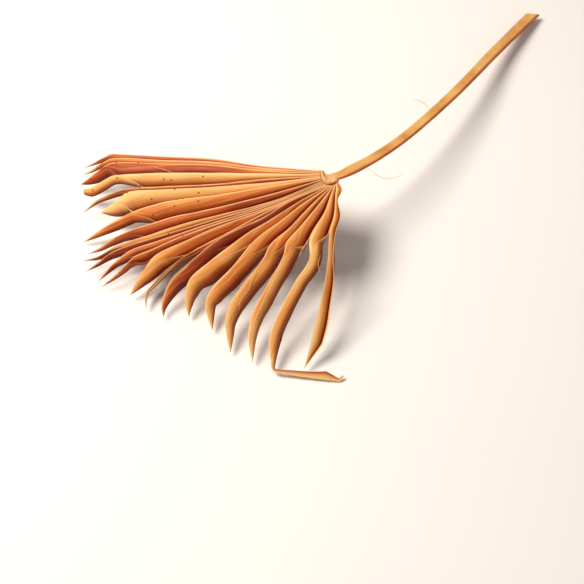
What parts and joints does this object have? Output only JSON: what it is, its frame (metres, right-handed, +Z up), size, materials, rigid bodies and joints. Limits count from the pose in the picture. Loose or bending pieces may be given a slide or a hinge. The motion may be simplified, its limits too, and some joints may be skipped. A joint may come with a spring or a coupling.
{
  "type": "dried fan palm frond",
  "caption": "Dried, dyed fan palm frond lying on its side: pleated leaf segments spreading from a short collar on a long cut stalk.",
  "frame": {"origin": "centre of the bounding box, on the floor plane", "axes": "+Z up from the floor, +X from the blade's tips towards the cut end of the stalk, +Y towards the side the stalk leans to"},
  "size_m": [0.5042, 0.4642, 0.0815],
  "materials": {
    "leaf_blade": "dyed dry palm leaf, papery, soft sheen, fine lengthwise veins",
    "leaf_rim": "dry curled leaf collar, matte",
    "leaf_stalk": "dyed dry leaf stalk, smooth waxy skin with fine grooves",
    "plant_fibre": "loose dry fibre, matte"
  },
  "bodies": {
    "root": {"segment_01": "leaf_blade", "segment_02": "leaf_blade", "segment_03": "leaf_blade", "segment_04": "leaf_blade", "segment_05": "leaf_blade", "segment_06": "leaf_blade", "segment_07": "leaf_blade", "segment_08": "leaf_blade", "segment_09": "leaf_blade", "segment_10": "leaf_blade", "segment_11": "leaf_blade", "segment_12": "leaf_blade", "segment_13": "leaf_blade", "segment_14": "leaf_blade", "segment_15": "leaf_blade", "segment_16": "leaf_blade", "segment_17": "leaf_blade", "segment_18": "leaf_blade", "segment_19": "leaf_blade", "segment_20": "leaf_blade", "segment_21": "leaf_blade", "leaf_base": "leaf_blade", "hastula": "leaf_rim", "petiole": "leaf_stalk", "fibre_1": "plant_fibre", "fibre_2": "plant_fibre", "fibre_3": "plant_fibre", "fibre_4": "plant_fibre", "fibre_5": "plant_fibre", "fibre_6": "plant_fibre"}
  },
  "joints": []
}
